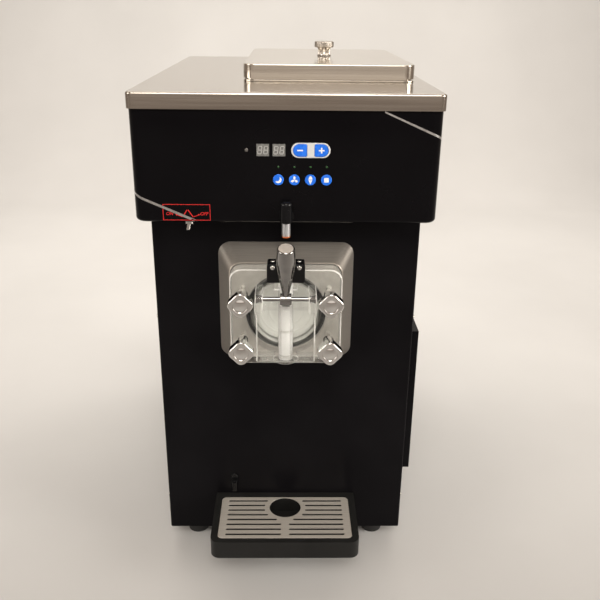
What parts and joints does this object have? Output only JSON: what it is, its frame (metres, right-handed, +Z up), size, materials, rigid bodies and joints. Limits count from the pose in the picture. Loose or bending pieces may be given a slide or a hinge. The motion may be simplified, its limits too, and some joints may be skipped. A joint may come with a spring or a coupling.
{
  "type": "soft serve machine",
  "caption": "Countertop soft serve machine: black body, steel cover with lidded hopper, control fascia, clear dispensing door with draw handle, and a hooked drip tray with grille.",
  "frame": {"origin": "on the standing surface, under the middle of the machine's box", "axes": "+Z up, the dispensing front faces -Y, +X to the right of a person facing the front"},
  "size_m": [0.404, 0.7386, 0.7815],
  "materials": {
    "black_paint": "satin black powder coat",
    "brushed_steel": "brushed stainless sheet",
    "polished_steel": "polished stainless sheet",
    "satin_steel": "satin stainless",
    "chrome": "bright chrome plate",
    "gloss_black": "gloss black moulding",
    "black_plastic": "black moulding",
    "tray_plastic": "dark grey moulding",
    "white_plastic": "white moulding",
    "blue_key": "blue key cap",
    "display_grey": "grey display module",
    "board_green": "circuit board lacquer",
    "clear_acrylic": "clear acrylic",
    "seal_silicone": "pale silicone",
    "rubber": "black rubber",
    "cast_grey": "grey cast housing",
    "motor_paint": "dark grey paint",
    "aluminium": "bare aluminium"
  },
  "bodies": {
    "casing": {"base_pan": "black_paint", "foot_front_left": "rubber", "foot_front_right": "rubber", "foot_rear_left": "rubber", "foot_rear_right": "rubber", "front_panel": "black_paint", "left_side_panel": "black_paint", "right_side_panel": "black_paint", "rear_panel": "black_paint", "top_cover": "brushed_steel", "side_vent_cover": "black_paint", "cord_gland": "black_plastic", "fascia": "gloss_black", "control_board": "board_green", "display_left": "display_grey", "display_right": "display_grey", "key_surround": "white_plastic", "power_switch_body": "black_plastic", "hopper": "brushed_steel", "cylinder_bulkhead": "black_paint", "freezing_cylinder": "satin_steel", "face_bezel": "brushed_steel", "door_gasket": "rubber", "dispensing_door": "clear_acrylic", "handle_pin": "chrome", "pin_cap_left": "chrome", "pin_cap_right": "chrome", "sensor_holder": "black_plastic", "sensor_barrel": "satin_steel", "leak_spout": "black_plastic", "gearbox": "cast_grey", "drive_belt": "rubber", "drive_motor": "motor_paint", "compressor": "black_paint", "condenser": "aluminium", "fan_motor": "motor_paint"},
    "hopper_lid": {"hopper_lid": "polished_steel", "lid_knob": "chrome"},
    "hand_screw_upper_left": {"hand_screw_upper_left": "chrome"},
    "hand_screw_upper_right": {"hand_screw_upper_right": "chrome"},
    "hand_screw_lower_left": {"hand_screw_lower_left": "chrome"},
    "hand_screw_lower_right": {"hand_screw_lower_right": "chrome"},
    "draw_handle": {"draw_handle": "chrome"},
    "plunger": {"plunger": "white_plastic", "plunger_seal_lower": "seal_silicone", "plunger_seal_upper": "seal_silicone", "plunger_head": "black_plastic"},
    "beater": {"beater": "white_plastic"},
    "gearbox_pulley": {"gearbox_pulley": "aluminium"},
    "motor_pulley": {"motor_pulley": "aluminium"},
    "condenser_fan": {"condenser_fan": "black_plastic"},
    "power_lever": {"power_switch_lever": "chrome"},
    "minus_key": {"minus_key": "blue_key"},
    "plus_key": {"plus_key": "blue_key"},
    "standby_key": {"standby_key": "blue_key"},
    "wash_key": {"wash_key": "blue_key"},
    "auto_key": {"auto_key": "blue_key"},
    "stop_key": {"stop_key": "blue_key"},
    "drip_tray": {"drip_tray": "tray_plastic"},
    "drip_grille": {"drip_grille": "satin_steel"}
  },
  "joints": [
    {"name": "lid_lift", "type": "slide", "parent": "casing", "child": "hopper_lid", "axis": [0, 0, 1], "range_m": [0, 0.12]},
    {"name": "screw_upper_left_turn", "type": "hinge", "parent": "casing", "child": "hand_screw_upper_left", "pos_m": [-0.0595, -0.29501, 0.472], "axis": [0, 1, 0], "continuous": true},
    {"name": "screw_upper_right_turn", "type": "hinge", "parent": "casing", "child": "hand_screw_upper_right", "pos_m": [0.0595, -0.29501, 0.472], "axis": [0, 1, 0], "continuous": true},
    {"name": "screw_lower_left_turn", "type": "hinge", "parent": "casing", "child": "hand_screw_lower_left", "pos_m": [-0.0595, -0.29501, 0.403], "axis": [0, 1, 0], "continuous": true},
    {"name": "screw_lower_right_turn", "type": "hinge", "parent": "casing", "child": "hand_screw_lower_right", "pos_m": [0.0595, -0.29501, 0.403], "axis": [0, 1, 0], "continuous": true},
    {"name": "handle_pull", "type": "hinge", "parent": "casing", "child": "draw_handle", "pos_m": [0, -0.32591, 0.4775], "axis": [1, 0, 0], "range_deg": [0, 64]},
    {"name": "plunger_lift", "type": "slide", "parent": "casing", "child": "plunger", "axis": [0, 0, 1], "range_m": [0, 0.0213]},
    {"name": "beater_turn", "type": "hinge", "parent": "casing", "child": "beater", "pos_m": [0, -0.26641, 0.4375], "axis": [0, 1, 0], "continuous": true},
    {"name": "gearbox_pulley_turn", "type": "hinge", "parent": "casing", "child": "gearbox_pulley", "pos_m": [0, 0.15189, 0.4375], "axis": [0, 1, 0], "continuous": true},
    {"name": "motor_pulley_turn", "type": "hinge", "parent": "casing", "child": "motor_pulley", "pos_m": [-0.06, 0.15189, 0.1288], "axis": [0, 1, 0], "continuous": true},
    {"name": "fan_turn", "type": "hinge", "parent": "casing", "child": "condenser_fan", "pos_m": [0.1235, -0.05071, 0.1968], "axis": [1, 0, 0], "continuous": true},
    {"name": "power_toggle", "type": "hinge", "parent": "casing", "child": "power_lever", "pos_m": [-0.13, -0.26271, 0.5662], "axis": [0, -1, 0], "range_deg": [0, 20]},
    {"name": "minus_press", "type": "slide", "parent": "casing", "child": "minus_key", "axis": [0, 1, 0], "range_m": [0, 0.0006], "stiffness_N_per_m": 800},
    {"name": "plus_press", "type": "slide", "parent": "casing", "child": "plus_key", "axis": [0, 1, 0], "range_m": [0, 0.0006], "stiffness_N_per_m": 800},
    {"name": "standby_press", "type": "slide", "parent": "casing", "child": "standby_key", "axis": [0, 1, 0], "range_m": [0, 0.0006], "stiffness_N_per_m": 800},
    {"name": "wash_press", "type": "slide", "parent": "casing", "child": "wash_key", "axis": [0, 1, 0], "range_m": [0, 0.0006], "stiffness_N_per_m": 800},
    {"name": "auto_press", "type": "slide", "parent": "casing", "child": "auto_key", "axis": [0, 1, 0], "range_m": [0, 0.0006], "stiffness_N_per_m": 800},
    {"name": "stop_press", "type": "slide", "parent": "casing", "child": "stop_key", "axis": [0, 1, 0], "range_m": [0, 0.0006], "stiffness_N_per_m": 800},
    {"name": "tray_lift", "type": "slide", "parent": "casing", "child": "drip_tray", "axis": [0, 0, 1], "range_m": [0, 0.006]},
    {"name": "grille_tilt", "type": "hinge", "parent": "drip_tray", "child": "drip_grille", "pos_m": [0, -0.24201, 0.1], "axis": [-1, 0, 0], "range_deg": [0, 40]}
  ],
  "couplings": [
    {"joint": "plunger_lift", "follows": "handle_pull", "m_per_rad": 0.018976},
    {"joint": "beater_turn", "follows": "gearbox_pulley_turn", "ratio": 0.2},
    {"joint": "motor_pulley_turn", "follows": "gearbox_pulley_turn", "ratio": 2}
  ]
}
